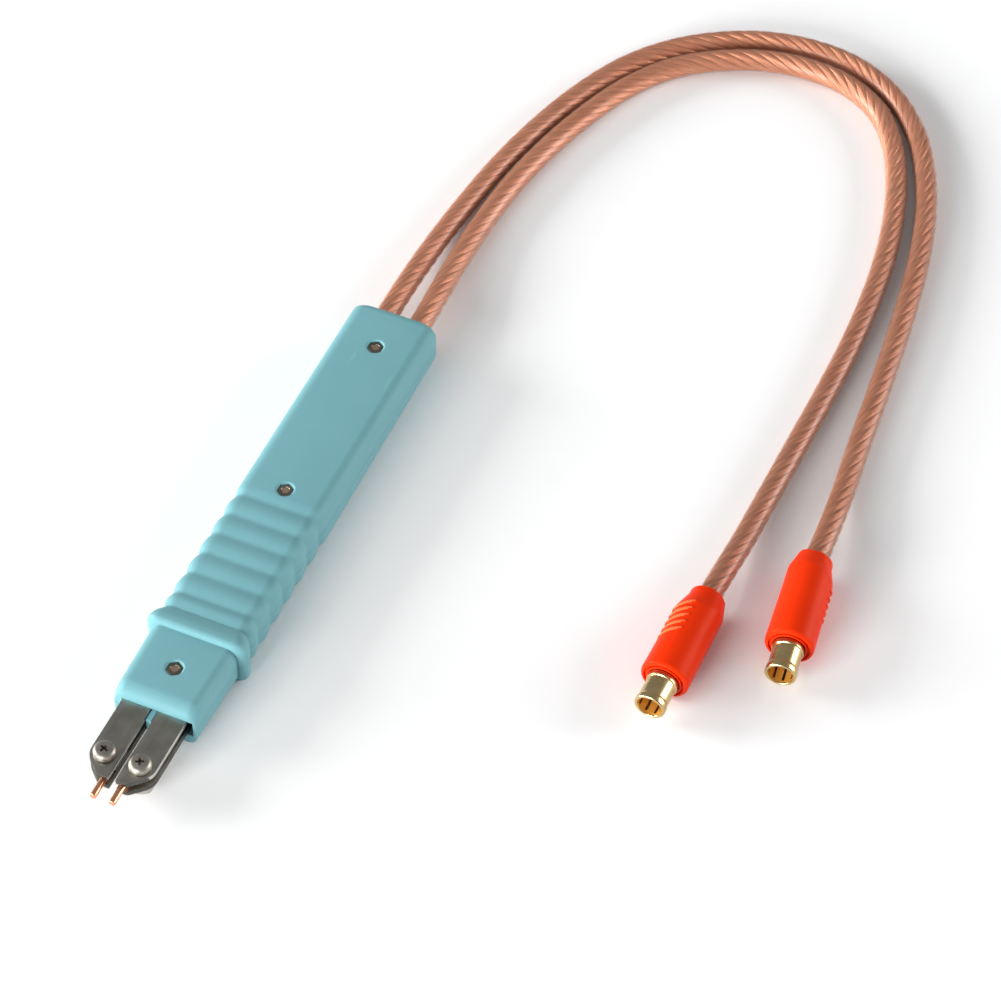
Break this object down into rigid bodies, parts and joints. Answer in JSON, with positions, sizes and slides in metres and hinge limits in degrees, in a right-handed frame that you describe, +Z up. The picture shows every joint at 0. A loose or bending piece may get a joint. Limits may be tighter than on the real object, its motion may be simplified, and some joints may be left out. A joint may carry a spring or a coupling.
{
  "type": "spot welding pen",
  "caption": "Hand-held spot-welding pen: ribbed plastic housing, screw-clamped copper electrode pins, and clear-jacketed cables that end in moulded plugs with gold sockets.",
  "frame": {"origin": "on the table, under the middle of the pen's length and width, with the cables and plugs left out", "axes": "+X along the pen to the electrode tips, +Y to the left of a user who holds it with the electrodes pointing away, +Z up"},
  "size_m": [0.3236, 0.1543, 0.0145],
  "materials": {
    "teal_plastic": "smooth satin moulding",
    "nickel_plate": "nickel plate",
    "screw_steel": "nickel-plated screw steel",
    "yellow_zinc": "yellow zinc plate",
    "copper": "bare copper",
    "clear_jacket": "clear jacket over twisted copper",
    "red_plastic": "satin moulding",
    "gold_plate": "polished gold plate"
  },
  "bodies": {
    "handle": {"upper_shell": "teal_plastic", "lower_shell": "teal_plastic", "housing_nut_rear": "screw_steel", "housing_nut_middle": "screw_steel", "housing_nut_front": "screw_steel", "housing_screw_rear": "screw_steel", "housing_screw_middle": "screw_steel", "housing_screw_front": "screw_steel", "upper_jaw_left": "nickel_plate", "upper_jaw_right": "nickel_plate", "lower_jaw_left": "nickel_plate", "lower_jaw_right": "nickel_plate", "jaw_rivet_left": "copper", "jaw_rivet_right": "copper", "cable_lug_left": "copper", "cable_lug_right": "copper", "cable_core_left": "copper", "cable_core_right": "copper", "cable_tail_left": "clear_jacket", "cable_tail_right": "clear_jacket", "cable_left": "clear_jacket", "cable_right": "clear_jacket", "plug_boot_left": "red_plastic", "plug_boot_right": "red_plastic", "plug_socket_left": "gold_plate", "plug_socket_right": "gold_plate", "plug_core_left": "copper", "plug_core_right": "copper"},
    "electrode_left": {"electrode_plate_left": "yellow_zinc", "electrode_pin_left": "copper"},
    "electrode_right": {"electrode_plate_right": "yellow_zinc", "electrode_pin_right": "copper"},
    "clamp_screw_left": {"clamp_screw_left": "screw_steel"},
    "clamp_screw_right": {"clamp_screw_right": "screw_steel"},
    "clamp_nut_left": {"clamp_nut_left": "screw_steel"},
    "clamp_nut_right": {"clamp_nut_right": "screw_steel"}
  },
  "joints": [
    {"name": "electrode_swing_left", "type": "hinge", "parent": "handle", "child": "electrode_left", "pos_m": [0.07322, 0.00485, 0.007], "axis": [0, 0, 1], "range_deg": [-6, 8]},
    {"name": "electrode_swing_right", "type": "hinge", "parent": "handle", "child": "electrode_right", "pos_m": [0.07322, -0.00485, 0.007], "axis": [0, 0, -1], "range_deg": [-6, 8]},
    {"name": "clamp_turn_left", "type": "hinge", "parent": "handle", "child": "clamp_screw_left", "pos_m": [0.07322, 0.00485, 0.00975], "axis": [0, 0, 1], "range_deg": [0, 720]},
    {"name": "clamp_turn_right", "type": "hinge", "parent": "handle", "child": "clamp_screw_right", "pos_m": [0.07322, -0.00485, 0.00975], "axis": [0, 0, 1], "range_deg": [0, 720]},
    {"name": "nut_travel_left", "type": "slide", "parent": "handle", "child": "clamp_nut_left", "axis": [0, 0, -1], "range_m": [0, 0.001]},
    {"name": "nut_travel_right", "type": "slide", "parent": "handle", "child": "clamp_nut_right", "axis": [0, 0, -1], "range_m": [0, 0.001]}
  ],
  "couplings": [
    {"joint": "clamp_turn_left", "follows": "nut_travel_left", "rad_per_m": 12566},
    {"joint": "clamp_turn_right", "follows": "nut_travel_right", "rad_per_m": 12566}
  ]
}
